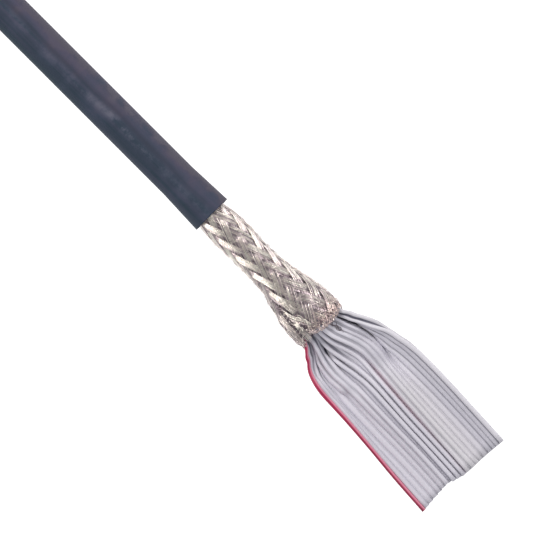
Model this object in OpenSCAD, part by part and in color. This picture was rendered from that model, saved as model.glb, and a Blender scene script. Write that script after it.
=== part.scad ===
// Shielded round cable with a flat ribbon inside, stripped back in steps at one end.
// +X runs from the plain end of the jacket to the flat end of the ribbon, +Z is up, and the
// table is at z = 0. Stations are measured from the stripped end of the jacket, and the whole is
// then moved so that the middle of its footprint is over the origin. Millimetres.
// Sizes follow each other from the inside out: ribbon, folded bundle, shield, jacket.

/* [Ribbon] */
// distance between neighbouring conductors
pitch = 1.27; // [1:0.01:2.54]
// gap between the lobes of two conductors that lie side by side in the folded bundle
lobe_gap = 0.01; // [0.01:0.01:0.2]
// thickness of the web between two conductors
web_thickness = 0.26; // [0.2:0.01:0.5]
// diameter of the bare stranded conductor
conductor_diameter = 0.38; // [0.3:0.01:0.5]

/* [Braid] */
// gap between the folded ribbon and the shield inside the jacket
shield_gap = 0.03; // [0.02:0.01:0.5]
// thickness of the shield inside the jacket
shield_wall = 0.21; // [0.15:0.01:0.5]
// strands wound each way
carriers = 12; // [8:1:16]
// how much of the way to the next strand one strand fills
strand_cover = 0.63; // [0.3:0.01:0.65]
// thickness of one strand
strand_thickness = 0.08; // [0.05:0.01:0.12]
// gap between two strands where they cross, for each of the two
weave_gap = 0.07; // [0.06:0.01:0.2]
// crossings between the sleeve inside the jacket and the mouth
crossings = 12; // [10:1:14]
// how far inside the jacket the woven strands start
weave_root = 1.4; // [1:0.1:6]
// gap between the closed sleeve and the woven strands
sleeve_gap = 0.2; // [0.2:0.01:0.5]
// turn of the whole weave about the axis, in degrees
weave_turn = 17.5; // [0:0.5:60]

/* [Jacket] */
// length from the plain cut end to the stripped end
jacket_length = 72; // [45:1:200]
// wall of the jacket, which fits tight round the shield
jacket_wall = 0.63; // [0.4:0.01:1.5]
// how far the stripped end opens, on the radius
flare = 0.35; // [0.1:0.01:1]
// length over which the end opens
flare_length = 8.6; // [3:0.1:20]
// break of the outer edge at the stripped end
edge_break = 0.12; // [0.02:0.01:0.3]

/* [Hidden] */
// The shapes below are drawn at this pitch and grow with the real one.
drawn_pitch = 1.27;
drawn_axis = 3.875;
// Least distance between two conductors in the folded sections.
drawn_closest = 0.84;
// The folded bundle inside the jacket: each conductor across and over the axis, from the red
// edge on, and how far it keeps that shape past the jacket.
bundle = [
    [-2.16, 0.34], [-2.16, -0.56], [-1.76, -1.36], [-0.74, -2.12], [-0.88, -1.24], [-1.39, -0.11],
    [-0.55, -0.41], [-0.03, -1.51], [0.30, -0.69], [-0.17, 0.40], [-1.39, 0.78], [-0.59, 1.18],
    [-0.81, 2.05], [0.27, 1.38], [0.06, 2.24], [0.93, 1.98], [1.07, 0.97], [1.96, 0.91],
    [1.26, 0.10], [1.18, -0.79], [0.73, -1.98], [1.54, -1.60], [2.07, -0.84], [2.15, 0.04]
];
bundle_end = 13.4;
// The shield past the jacket: x, wider and taller than the sleeve on the radius, sideways, over the axis.
shield_outline = [
    [-3.0, 0.07, 0.07, 0.00, -0.01],
    [0.0, 0.09, 0.09, 0.00, 0.00],
    [3.0, 0.25, 0.17, -0.03, 0.01],
    [6.0, 0.20, 0.14, -0.03, 0.03],
    [11.6, 0.14, 0.13, -0.02, 0.05],
    [16.3, 0.42, 0.26, 0.00, 0.03],
    [19.4, 1.19, 0.50, -0.10, 0.00],
    [22.7, 1.87, 0.70, -0.20, -0.02],
    [25.5, 2.17, 0.80, -0.32, -0.02],
    [28.0, 2.10, 0.76, -0.18, -0.02]
];
// How far each strand stops short of the mouth, in turn round the shield.
ragged = [0.1, 0.4, 0.0, 0.3, 0.5, 0.2, 0.4, 0.1, 0.5, 0.2, 0.0, 0.3];
// The ribbon as it unfolds past the bundle: x, sideways, turn in degrees, and the centre of each
// conductor across the station and over the table, from the red edge on. Neighbours stay one
// pitch apart outside the shield, so the folds open without stretching.
unfolding = [
    [24.4, -0.23, -1.4, [
        [-3.00, 4.55], [-3.13, 3.59], [-2.80, 2.68], [-1.90, 1.85], [-1.92, 2.79], [-2.32, 3.97],
        [-1.44, 3.54], [-1.14, 2.31], [-0.44, 2.90], [-0.77, 4.12], [-1.88, 4.74], [-0.98, 5.03],
        [-1.14, 6.11], [-0.14, 5.33], [-0.27, 6.30], [0.70, 6.22], [1.20, 5.06], [2.40, 4.98],
        [2.25, 3.73], [1.62, 2.72], [1.59, 1.69], [2.40, 2.22], [3.05, 3.25], [3.10, 4.21]
    ]],
    [26.2, -0.22, 1.8, [
        [-3.49, 4.58], [-3.62, 3.50], [-3.19, 2.51], [-2.25, 1.72], [-2.34, 2.80], [-2.85, 3.96],
        [-1.85, 3.54], [-1.59, 2.32], [-0.53, 2.37], [-0.96, 3.56], [-1.89, 4.43], [-0.92, 4.91],
        [-1.14, 6.16], [-0.15, 5.36], [-0.29, 6.46], [0.71, 6.01], [1.31, 4.89], [2.38, 4.24],
        [2.25, 2.98], [1.31, 2.20], [2.03, 1.61], [2.92, 2.23], [3.39, 3.25], [3.57, 4.32]
    ]],
    [28.0, -0.14, 2.7, [
        [-4.12, 4.52], [-4.19, 3.32], [-3.62, 2.27], [-2.62, 1.53], [-2.85, 2.71], [-3.19, 3.91],
        [-2.13, 3.23], [-1.91, 2.06], [-0.75, 1.80], [-1.26, 2.96], [-1.87, 4.08], [-0.78, 4.56],
        [-1.12, 5.78], [-0.05, 5.15], [-0.28, 6.38], [0.73, 5.62], [1.43, 4.56], [2.39, 3.74],
        [2.30, 2.48], [1.73, 1.37], [2.86, 1.67], [3.67, 2.53], [3.45, 3.69], [4.03, 4.72]
    ]],
    [29.8, -0.07, 1.3, [
        [-5.44, 4.12], [-5.26, 2.88], [-4.50, 1.88], [-3.45, 1.19], [-3.78, 2.40], [-3.58, 3.63],
        [-2.90, 2.57], [-2.58, 1.34], [-1.52, 0.70], [-1.79, 1.93], [-2.04, 3.17], [-0.87, 3.60],
        [-1.09, 4.85], [0.13, 4.55], [-0.13, 5.79], [1.00, 5.24], [1.73, 4.20], [2.80, 3.51],
        [3.03, 2.26], [2.98, 1.01], [4.09, 1.59], [4.22, 2.82], [4.02, 4.06], [5.06, 4.77]
    ]],
    [32.6, -0.12, -3.0, [
        [-7.35, 3.29], [-7.04, 2.08], [-6.07, 1.29], [-5.05, 0.57], [-5.15, 1.77], [-4.27, 2.66],
        [-3.45, 1.70], [-3.69, 0.47], [-2.51, 0.66], [-1.62, 1.27], [-1.93, 2.50], [-0.68, 2.28],
        [-0.45, 3.52], [0.79, 3.22], [0.82, 4.49], [2.09, 4.39], [2.83, 3.36], [3.96, 2.77],
        [4.17, 1.52], [4.78, 0.53], [5.19, 1.65], [5.48, 2.88], [5.61, 4.14], [6.77, 4.51]
    ]],
    [34.8, -0.26, -3.9, [
        [-7.98, 3.68], [-7.47, 2.54], [-6.93, 1.45], [-6.18, 0.44], [-5.48, 1.48], [-4.56, 2.34],
        [-3.50, 1.64], [-3.17, 0.44], [-2.50, 1.48], [-1.59, 0.64], [-1.41, 1.88], [-0.22, 1.46],
        [0.45, 2.54], [1.69, 2.25], [1.73, 3.52], [2.98, 3.70], [3.77, 2.71], [4.68, 1.84],
        [4.71, 0.57], [5.77, 1.07], [5.90, 2.31], [6.56, 3.38], [6.92, 4.59], [7.72, 3.72]
    ]],
    [37.6, -0.42, -2.7, [
        [-8.26, 3.20], [-7.62, 2.12], [-7.18, 0.94], [-6.09, 0.43], [-5.43, 1.50], [-4.39, 2.21],
        [-3.34, 1.50], [-2.62, 0.46], [-1.86, 1.45], [-1.05, 0.47], [-0.66, 1.68], [0.33, 0.90],
        [1.02, 1.97], [2.18, 1.51], [2.24, 2.78], [3.33, 3.43], [4.32, 2.65], [4.86, 1.52],
        [5.38, 0.44], [5.84, 1.59], [6.73, 2.48], [7.53, 3.44], [8.18, 4.53], [8.41, 3.28]
    ]],
    [40.1, -0.53, -2.5, [
        [-8.28, 2.76], [-7.64, 1.67], [-7.38, 0.44], [-6.12, 0.43], [-4.96, 0.66], [-4.22, 1.66],
        [-3.02, 1.47], [-2.21, 0.50], [-1.43, 1.49], [-0.73, 0.44], [-0.32, 1.63], [0.19, 0.48],
        [0.94, 1.50], [1.86, 0.63], [2.18, 1.86], [3.21, 2.61], [4.08, 1.70], [4.45, 0.50],
        [5.69, 0.43], [6.24, 1.55], [7.25, 2.29], [8.16, 3.16], [8.76, 4.27], [9.04, 3.03]
    ]],
    [45.5, -0.79, -2.8, [
        [-8.36, 2.74], [-7.78, 1.62], [-7.37, 0.43], [-6.12, 0.43], [-4.86, 0.43], [-3.94, 1.28],
        [-2.87, 1.95], [-2.18, 0.89], [-1.25, 1.74], [-0.86, 0.53], [-0.25, 1.64], [0.09, 0.43],
        [0.84, 1.44], [1.66, 0.47], [2.04, 1.68], [3.01, 2.50], [3.82, 1.54], [4.42, 0.43],
        [5.68, 0.44], [6.79, 1.03], [7.83, 1.76], [8.67, 2.70], [9.42, 3.71], [9.52, 2.44]
    ]],
    [64.7, -1.80, -3.4, [
        [-8.88, 1.93], [-8.03, 1.00], [-6.92, 0.43], [-5.66, 0.43], [-4.41, 0.58], [-3.39, 1.31],
        [-2.47, 2.16], [-1.91, 1.02], [-1.14, 2.01], [-1.02, 0.75], [-0.17, 1.68], [0.33, 0.52],
        [0.82, 1.68], [1.72, 0.80], [1.82, 2.06], [3.02, 2.27], [3.85, 1.32], [4.80, 0.48],
        [6.05, 0.43], [7.26, 0.77], [8.22, 1.59], [8.96, 2.60], [9.74, 3.59], [9.81, 2.32]
    ]]
];
// How far each conductor stops short of the square cut at the flat end.
drawn_short = [0, 0.12, 0.28, 0.44, 0.60, 0.76, 0.85, 0.72, 0.50, 0.36, 0.22, 0.10,
    0, 0, 0, 0, 0, 0, 0, 0, 0, 0, 0, 0];
// Middle of the drawn footprint across the cable, and how far the slanted flat end passes its station.
drawn_side = -0.97;
drawn_slant = 0.6;

last = len(bundle) - 1;
function conductor_name(k) = str("conductor_", k < 9 ? "0" : "", k + 1);

$fn = 96;

// From the ribbon outwards.
fold = pitch / drawn_pitch;
lobe_diameter = drawn_closest * fold - lobe_gap;
bundle_reach = max([for (p = bundle) norm(p)]) * fold + lobe_diameter / 2;
shield_bore = 2 * (bundle_reach + shield_gap);
jacket_bore = shield_bore + 2 * shield_wall;
jacket_diameter = jacket_bore + 2 * jacket_wall;
sleeve_middle = (shield_bore + jacket_bore) / 4;
mouth = shield_outline[len(shield_outline) - 1][0] * fold;

// The opened end lifts the axis, so the jacket slopes a little to rest at both ends.
slope = asin(flare / jacket_length);
axis_height = jacket_diameter / 2 + flare;
function axis_at(x) = axis_height + x * tan(slope);

// The folded bundle follows the axis. Past it the ribbon comes down from the axis to the table.
function bundle_at(x) = [x, 0, 0, [for (p = bundle) p * fold + [0, axis_at(x)]]];
function drop(x) = (axis_height - drawn_axis * fold) * lookup(x, [[28, 1], [37.6, 0]]);
stations = concat([bundle_at(-jacket_length), bundle_at(bundle_end * fold)],
    [for (u = unfolding) [u[0] * fold, u[1] * fold, u[2], [for (p = u[3]) p * fold + [0, drop(u[0])]]]]);
ends = len(stations) - 1;
middle = [(stations[ends][0] + drawn_slant * fold - jacket_length) / 2, drawn_side * fold, 0];

function unit(v) = v / norm(v);
function polar(r, a) = [r * cos(a), r * sin(a)];
function heading(v) = atan2(v[1], v[0]);
function turn(a) = a - 360 * floor(a / 360);

// Direction from a conductor to the one before it and to the one after it. An edge conductor
// has only one neighbour, and its other direction is taken straight away from that one.
function to_before(c, k) = heading(k == 0 ? c[0] - c[1] : c[k - 1] - c[k]);
function to_after(c, k) = heading(k == last ? c[last] - c[last - 1] : c[k + 1] - c[k]);

// Three points round the insulation of conductor k, on the upper (side 1) or lower (side -1) face.
function lobe(c, k, side) =
    let (a = to_before(c, k), sweep = turn(side * (a - to_after(c, k))),
        skip = min(32, sweep / 2 - 2))
    [for (f = [skip, sweep / 2, sweep - skip]) c[k] + polar(lobe_diameter / 2, a - side * f)];

// The point of one face halfway along the web between conductors k and k + 1.
function web(c, k, side) =
    let (d = unit(c[k + 1] - c[k]))
    (c[k] + c[k + 1]) / 2 + side * web_thickness / 2 * [-d[1], d[0]];

// Four points round the bare conductor k, turned with the ribbon.
function core(c, k) =
    let (a = heading(c[max(k - 1, 0)] - c[min(k + 1, last)]))
    [for (f = [0 : 3]) c[k] + polar(conductor_diameter / 2, a - 90 * f)];

// Places a point of station s in space, shortened at the flat end as conductor k is.
function placed(s, k, p) =
    let (t = stations[s], x = t[0] - (s == ends ? drawn_short[k] * fold : 0))
    [x - p[0] * sin(t[2]), t[1] + p[0] * cos(t[2]), p[1]];

// One face of conductors a to b at station s, from web to web.
function face(s, a, b, side) = let (c = stations[s][3])
    [for (k = [a : b])
        each concat(k == a && a > 0 ? [placed(s, k - 1, web(c, k - 1, side))] : [],
            [for (p = lobe(c, k, side)) placed(s, k, p)],
            k < last ? [placed(s, k, web(c, k, side))] : [])];
function cores(s, a, b) = let (c = stations[s][3])
    [for (k = [a : b]) each [for (p = core(c, k)) placed(s, k, p)]];

// Triangles between one ring of points and the next, for n points that start at number from
// of each ring of step points. A closed ring joins its last point to its first. The other side of
// the ring, where one is named, is split along its other diagonal.
function wall(rings, step, from, n, closed, inward, other = -1) =
    [for (s = [0 : rings - 2]) for (j = [0 : n - (closed ? 1 : 2)])
        let (a = s * step + from + j, b = s * step + from + (j + 1) % n)
        each j == other ? [[a, b, a + step], [b, b + step, a + step]]
            : inward ? [[a, b + step, b], [a, a + step, b + step]]
            : [[a, b, b + step], [a, b + step, a + step]]];

// A swept bar from rings of four points.
module bar(rings, other = -1) {
    e = 4 * (len(rings) - 1);
    polyhedron([for (r = rings) each r], concat(wall(len(rings), 4, 0, 4, true, false, other),
        [[3, 2, 1], [3, 1, 0], [e, e + 1, e + 2], [e, e + 2, e + 3]]), convexity = 6);
}

// Round jacket, square cut at the plain end and a little flared where it was stripped.
module outer_jacket() {
    color([0.28, 0.29, 0.34])
        translate([0, 0, axis_height]) rotate([0, 90 - slope, 0]) rotate_extrude()
            let (bore = jacket_bore / 2, outside = jacket_diameter / 2)
                polygon([
                    [bore, -jacket_length], [outside, -jacket_length], [outside, -flare_length],
                    [outside + flare, -edge_break], [outside + flare - edge_break, 0],
                    [bore + flare, 0], [bore, -flare_length]]);
}

// Half width, half height, sideways place and centre height of the middle of the weave at x.
function shield(x) = fold * [for (c = [1 : 4]) lookup(x / fold, [for (r = shield_outline) [r[0], r[c]]])]
    + [sleeve_middle, sleeve_middle, 0, axis_height];
function on_shield(x, f, out) = let (s = shield(x))
    [x, s[2] + (s[0] + out) * sin(f), s[3] + (s[1] + out) * cos(f)];

// Strand i of one winding way (1 or -1) at crossing n: it runs over two and under two.
function weave_x(i, n) =
    (mouth + weave_root - (n == crossings ? ragged[i % len(ragged)] * fold : 0)) * n / crossings
        - weave_root;
function weave_out(i, n, way) =
    let (v = (2 * i + way * n + 4 * crossings) % 4)
    (v < 2 ? 1 : -1) * way * (strand_thickness + weave_gap);
function weave_point(i, n, way) =
    on_shield(weave_x(i, n), (i * 2 + way * n) * 180 / carriers + weave_turn, weave_out(i, n, way));

// Flat strand with its two faces along the shield, both split along the short diagonal.
module strand(i, way) {
    bar([for (n = [0 : crossings])
        let (p = weave_point(i, n, way),
            ahead = weave_point(i, min(n + 1, crossings), way),
            behind = weave_point(i, max(n - 1, 0), way),
            s = shield(p[0]),
            f = (i * 2 + way * n) * 180 / carriers + weave_turn,
            out = unit([0, s[1] * sin(f), s[0] * cos(f)]),
            across = unit(cross(out, ahead - behind)),
            w = strand_cover * PI * (0.55 * sleeve_middle + 0.45 * s[0]) / carriers,
            t = strand_thickness / 2)
        [p - w * across - t * out, p - w * across + t * out,
            p + w * across + t * out, p + w * across - t * out]], way == 1 ? 1 : 3);
}

// Braided shield: a closed sleeve inside the jacket, woven strands from the stripped end on. The
// strands stay clear of each other, as separate wires do.
module braid_shield() {
    color([0.78, 0.74, 0.70]) {
        translate([0, 0, axis_height]) rotate([0, 90 - slope, 0])
            translate([0, 0, -jacket_length]) difference() {
                cylinder(d = jacket_bore, h = jacket_length - weave_root - sleeve_gap);
                translate([0, 0, -1]) cylinder(d = shield_bore, h = jacket_length + 2);
            }
        for (i = [0 : carriers - 1]) strand(i, 1);
        for (i = [0 : carriers - 1]) strand(i, -1);
    }
}

// Insulation of conductors a to b, with a bore for each bare conductor, as one closed solid.
module insulation(a, b) {
    n = b - a + 1;
    up = len(face(0, a, b, 1));
    step = 2 * up + 4 * n;
    e = up - 1;
    points = [for (s = [0 : ends])
        each concat(face(s, a, b, 1), face(s, a, b, -1), cores(s, a, b))];
    sides = [for (s = [0 : ends - 1])
        let (p = s * step, q = p + step)
        each [[p, q + up, p + up], [p, q, q + up],
            [p + e, q + up + e, q + e], [p + e, p + up + e, q + up + e]]];
    // At each end the cell of a conductor is closed between its outline and its bore.
    cells = [for (i = [0 : n - 1])
        let (k = a + i, at = 4 * i - (a == 0 && i > 0 ? 1 : 0), u = at + (k > 0 ? 1 : 0),
            d = u + up, c = 2 * up + 4 * i)
        each concat(
            k > 0 ? [[c, at + up, at], [c, at, u], [c, d, at + up]] : [[c, d, u]],
            k < last ? [[c + 2, u + 2, u + 3], [c + 2, u + 3, d + 3], [c + 2, d + 3, d + 2]]
                : [[c + 2, u + 2, d + 2]],
            [[c, u, c + 1], [c + 1, u, u + 1], [c + 1, u + 1, u + 2], [c + 1, u + 2, c + 2],
                [c, c + 3, d], [c + 3, d + 1, d], [c + 3, d + 2, d + 1], [c + 3, c + 2, d + 2]])];
    polyhedron(points, concat(
        wall(ends + 1, step, 0, up, false, false),
        wall(ends + 1, step, up, up, false, true),
        sides,
        [for (i = [0 : n - 1]) each wall(ends + 1, step, 2 * up + 4 * i, 4, true, true)],
        [for (f = cells) [f[0], f[2], f[1]]],
        [for (f = cells) [for (v = f) v + ends * step]]), convexity = 10);
}

// Grey insulation of every conductor but the first, with the webs between them.
module ribbon_insulation() {
    color([0.80, 0.79, 0.84]) insulation(1, last);
}

// Red insulation of the first conductor, fused to the grey along the first web.
module red_edge_insulation() {
    color([0.70, 0.16, 0.30]) insulation(0, 0);
}

// Bare stranded conductor k, counted from 0 at the red edge.
module conductor(k) {
    color([0.80, 0.52, 0.36]) bar([for (s = [0 : ends]) cores(s, k, k)]);
}

translate(-middle) {
    outer_jacket();
    braid_shield();
    ribbon_insulation();
    red_edge_insulation();
    for (k = [0 : last]) conductor(k);
}
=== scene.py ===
# Shielded round cable stripped in steps, its folded ribbon fanned out flat. Blender 4.5.
import math
import random

import bpy
import numpy as np
from mathutils import Matrix, Vector


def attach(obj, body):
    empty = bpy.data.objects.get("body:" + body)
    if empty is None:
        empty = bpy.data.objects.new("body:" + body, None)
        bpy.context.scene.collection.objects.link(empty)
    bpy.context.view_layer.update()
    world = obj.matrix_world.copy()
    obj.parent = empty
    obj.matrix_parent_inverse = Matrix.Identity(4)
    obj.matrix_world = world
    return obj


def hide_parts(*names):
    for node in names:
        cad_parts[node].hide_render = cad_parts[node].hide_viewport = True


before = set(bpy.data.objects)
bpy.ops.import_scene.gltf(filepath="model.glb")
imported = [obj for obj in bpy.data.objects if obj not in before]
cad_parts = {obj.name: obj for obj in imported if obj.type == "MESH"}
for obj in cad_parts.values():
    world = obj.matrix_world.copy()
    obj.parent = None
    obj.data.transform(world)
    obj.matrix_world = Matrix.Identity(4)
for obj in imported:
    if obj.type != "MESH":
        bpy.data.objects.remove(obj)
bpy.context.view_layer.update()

mm = 0.001
wireSeed = 24
rng = random.Random(wireSeed)
print("frame loaded")

# Stations count from the stripped end of the jacket, in millimetres. The row frame stands
# over the middle of the footprint.
shiftX, shiftY = 3.35, 0.97
jacketLength = 72.0
axisHeight = 3.8804  # of the cable's middle where the jacket is stripped
axisDrop = 0.35  # from there to the far end of the jacket
slope = math.asin(axisDrop / jacketLength)


def toRow(points):
    p = np.array(points, float)
    return (p + [shiftX, shiftY, 0.0]) * mm


def bundleHeight(x):
    return axisHeight + x * math.tan(slope)


def axisZ(x):
    return bundleHeight(min(x, 0.0))


def clamp(v):
    return min(1.0, max(0.0, v))


def rise(v, start, length):
    return clamp((v - start) / length)


def bell(v, middle, wide):
    return math.exp(-((v - middle) / wide) ** 2)


def hermite(t, h, v0, m0, v1, m1):
    # Smooth curve over a step h between two values with their slopes.
    return (v0 * (2 * t ** 3 - 3 * t ** 2 + 1) + m0 * h * (t ** 3 - 2 * t ** 2 + t)
            + v1 * (3 * t ** 2 - 2 * t ** 3) + m1 * h * (t ** 3 - t ** 2))


# Camera: it looks straight down, and the cable runs to the lower right corner. The picture is
# 100 mm tall at the height where it is measured, and 98.2 mm wide.
camera = {"middle": (16.2, -0.3), "tall": 100.0, "measuredAt": 3.0, "away": 1300.0, "roll": 45.0,
          "sensor": 24.0, "near": 0.05, "far": 20}
cam = bpy.data.objects.new("camera", bpy.data.cameras.new("camera"))
bpy.context.scene.collection.objects.link(cam)
cam.location = toRow([*camera["middle"], camera["away"]])
cam.rotation_euler = (0, 0, math.radians(camera["roll"]))
cam.data.sensor_fit = "VERTICAL"
cam.data.sensor_height = camera["sensor"]
cam.data.lens = camera["sensor"] * (camera["away"] - camera["measuredAt"]) / camera["tall"]
cam.data.clip_start = camera["near"]
cam.data.clip_end = camera["far"]
bpy.context.scene.camera = cam

# The key is a strip across the cable: soft on the round plastic, sharp along the wires.
lights = {
    "key": {"towards": (-0.52, -0.05, 0.85), "away": 0.55, "size": (0.10, 0.42), "watts": 1.50,
            "tint": (1.0, 0.970, 0.920)},
    "side": {"towards": (-0.056, 0.66, 0.75), "away": 0.60, "size": (0.10, 0.16), "watts": 0.80,
             "tint": (1.0, 0.965, 0.93)},
}
litPoint = Vector((0.02, 0, 0))  # both lamps face it
for name, look in lights.items():
    lamp = bpy.data.lights.new(name, "AREA")
    lamp.shape = "RECTANGLE"
    lamp.size, lamp.size_y = look["size"]
    lamp.energy = look["watts"]
    lamp.color = look["tint"]
    obj = bpy.data.objects.new(name, lamp)
    bpy.context.scene.collection.objects.link(obj)
    way = Vector(look["towards"]).normalized()
    obj.location = way * look["away"] + litPoint
    across = Vector((0, 1, 0)) - way * way.y
    across.normalize()
    turned = Matrix((across.cross(way), across, way)).transposed()
    obj.rotation_euler = turned.to_euler()

studio = {"tint": (0.97, 0.98, 1.0, 1), "strength": 0.50}
world = bpy.data.worlds.new("studio")
bpy.context.scene.world = world
world.use_nodes = True
world.node_tree.nodes["Background"].inputs["Color"].default_value = studio["tint"]
world.node_tree.nodes["Background"].inputs["Strength"].default_value = studio["strength"]
bpy.context.scene.view_settings.view_transform = "Standard"
print("camera and lights set")


# Small helpers for shader trees.
def newMaterial(name):
    m = bpy.data.materials.new(name)
    m.use_nodes = True
    m.node_tree.nodes.clear()
    out = m.node_tree.nodes.new("ShaderNodeOutputMaterial")
    body = m.node_tree.nodes.new("ShaderNodeBsdfPrincipled")
    m.node_tree.links.new(body.outputs["BSDF"], out.inputs["Surface"])
    return m, body


def setNode(tree, kind, **values):
    n = tree.nodes.new(kind)
    for key, value in values.items():
        if key in n.inputs:
            n.inputs[key].default_value = value
        else:
            setattr(n, key, value)
    return n


def noise(tree, **values):
    place = tree.nodes.new("ShaderNodeTexCoord")
    n = setNode(tree, "ShaderNodeTexNoise", **values)
    tree.links.new(place.outputs["Object"], n.inputs["Vector"])
    return n.outputs["Fac"]


def ramp(tree, source, stops):
    n = tree.nodes.new("ShaderNodeValToRGB")
    e = n.color_ramp.elements
    while len(e) < len(stops):
        e.new(0.5)
    for k, (at, colour) in enumerate(stops):
        e[k].position = at
        e[k].color = (*colour, 1)
    tree.links.new(source, n.inputs["Fac"])
    return n.outputs["Color"]


def spots(tree, source, low, high, most):
    # A mask that comes up from nothing to its most between two values of the source.
    return ramp(tree, source, [(low, (0, 0, 0)), (high, (most, most, most))])


def soften(tree, source, low, high):
    n = tree.nodes.new("ShaderNodeMapRange")
    n.inputs["To Min"].default_value = low
    n.inputs["To Max"].default_value = high
    tree.links.new(source, n.inputs["Value"])
    return n.outputs["Result"]


def mixColour(tree, fac, a, b, blend="MIX"):
    n = tree.nodes.new("ShaderNodeMix")
    n.data_type = "RGBA"
    n.blend_type = blend
    # Sockets 6 and 7 are its two colours, and output 2 is the mixed one.
    for socket, value in ((n.inputs["Factor"], fac), (n.inputs[6], a), (n.inputs[7], b)):
        if isinstance(value, tuple):
            socket.default_value = (*value, 1)
        else:
            tree.links.new(value, socket)
    return n.outputs[2]


def attribute(tree, name):
    n = tree.nodes.new("ShaderNodeAttribute")
    n.attribute_name = name
    return n.outputs["Fac"]


def addBump(tree, body, height, strength, distance):
    b = tree.nodes.new("ShaderNodeBump")
    b.inputs["Strength"].default_value = strength
    b.inputs["Distance"].default_value = distance
    tree.links.new(height, b.inputs["Height"])
    tree.links.new(b.outputs["Normal"], body.inputs["Normal"])


# Drawn plastic: long faint streaks along the cable with fine grain between them.
def drawnPlasticGroup():
    t = bpy.data.node_groups.new("drawnPlastic", "ShaderNodeTree")
    for name, value in (("Streak Scale", 900.0), ("Grain Scale", 6000.0), ("Blotch Scale", 60.0)):
        socket = t.interface.new_socket(name=name, in_out="INPUT", socket_type="NodeSocketFloat")
        socket.default_value = value
    for name in ("Streaks", "Blotches", "Height"):
        t.interface.new_socket(name=name, in_out="OUTPUT", socket_type="NodeSocketFloat")
    inp, out = t.nodes.new("NodeGroupInput"), t.nodes.new("NodeGroupOutput")
    place = t.nodes.new("ShaderNodeTexCoord")
    stretch = setNode(t, "ShaderNodeMapping", Scale=(0.03, 1, 1))
    t.links.new(place.outputs["Object"], stretch.inputs["Vector"])
    streak = setNode(t, "ShaderNodeTexNoise", Detail=3.0, Roughness=0.6)
    t.links.new(stretch.outputs["Vector"], streak.inputs["Vector"])
    t.links.new(inp.outputs["Streak Scale"], streak.inputs["Scale"])
    grain = setNode(t, "ShaderNodeTexNoise", Detail=2.0)
    t.links.new(place.outputs["Object"], grain.inputs["Vector"])
    t.links.new(inp.outputs["Grain Scale"], grain.inputs["Scale"])
    blotch = setNode(t, "ShaderNodeTexNoise", Detail=4.0, Roughness=0.55)
    t.links.new(place.outputs["Object"], blotch.inputs["Vector"])
    t.links.new(inp.outputs["Blotch Scale"], blotch.inputs["Scale"])
    both = setNode(t, "ShaderNodeMath", operation="MULTIPLY_ADD")
    both.inputs[1].default_value = 0.35  # the grain's share in the height
    t.links.new(grain.outputs["Fac"], both.inputs[0])
    t.links.new(streak.outputs["Fac"], both.inputs[2])
    t.links.new(streak.outputs["Fac"], out.inputs["Streaks"])
    t.links.new(blotch.outputs["Fac"], out.inputs["Blotches"])
    t.links.new(both.outputs[0], out.inputs["Height"])
    return t


drawnPlastic = drawnPlasticGroup()


def useGroup(tree, group, **values):
    n = tree.nodes.new("ShaderNodeGroup")
    n.node_tree = group
    for key, value in values.items():
        n.inputs[key.replace("_", " ")].default_value = value
    return n


# Floor: a pale sheet, in metres, that shows as plain white to the camera.
sheet = {"half": 1.5, "below": 0.00002, "colour": (0.50, 0.50, 0.50, 1), "roughness": 0.9,
         "specular": 0.1, "glow": 0.92}
floorMesh = bpy.data.meshes.new("floor")
corners = [(x * sheet["half"], y * sheet["half"], 0) for x, y in ((-1, -1), (1, -1), (1, 1), (-1, 1))]
floorMesh.from_pydata(corners, [], [(0, 1, 2, 3)])
floor = bpy.data.objects.new("floor", floorMesh)
floor.location.z = -sheet["below"]
bpy.context.scene.collection.objects.link(floor)
floorPaper, floorBody = newMaterial("floorPaper")
floorBody.inputs["Base Color"].default_value = sheet["colour"]
floorBody.inputs["Roughness"].default_value = sheet["roughness"]
floorBody.inputs["Specular IOR Level"].default_value = sheet["specular"]
floorBody.inputs["Emission Color"].default_value = (1, 1, 1, 1)
floorBody.inputs["Emission Strength"].default_value = sheet["glow"]
floor.data.materials.append(floorPaper)
print("floor laid")


# Helpers for meshes.
def addPiece(name, verts, faces, material, replaced, attributes=None):
    mesh = bpy.data.meshes.new(name)
    mesh.from_pydata([tuple(v) for v in verts], [], faces)
    mesh.materials.append(material)
    for key, values in (attributes or {}).items():
        layer = mesh.attributes.new(key, "FLOAT", "POINT")
        layer.data.foreach_set("value", np.array(values, dtype=np.float32))
    mesh.validate()
    mesh.update()
    mesh.shade_smooth()
    obj = bpy.data.objects.new(name, mesh)
    bpy.context.scene.collection.objects.link(obj)
    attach(obj, "root")
    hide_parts(*replaced)
    return obj


def joinRings(rings, others):
    # Quads from each ring to the one in the same place of the second list.
    n = len(rings[0])
    faces = []
    for a, b in zip(rings, others):
        for j in range(n):
            faces.append((a[j], a[(j + 1) % n], b[(j + 1) % n], b[j]))
    return faces


# Round jacket: a tube that flares towards a dark cut edge where it was stripped.
jacket = {"outside": 3.530, "bore": 2.900, "flareOutside": 3.880, "flareBore": 3.250, "flare": 8.6,
          "round": 128, "crease": 0.07, "ragged": 0.05, "edgeBreak": 0.05, "darkInside": 6,
          "shades": [(0.20, (0.027, 0.043, 0.064)), (0.40, (0.033, 0.049, 0.075)),
                     (0.60, (0.041, 0.055, 0.087)), (0.76, (0.052, 0.060, 0.093)),
                     (0.90, (0.065, 0.063, 0.094)), (1.0, (0.080, 0.074, 0.100))],
          "streakTone": (0.078, 0.070, 0.118), "scuffAndSheenTone": (0.135, 0.138, 0.185),
          "creaseTone": (0.028, 0.031, 0.048), "cutTone": (0.010, 0.010, 0.013),
          "roughness": (0.55, 0.74), "specular": 0.13}


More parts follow.
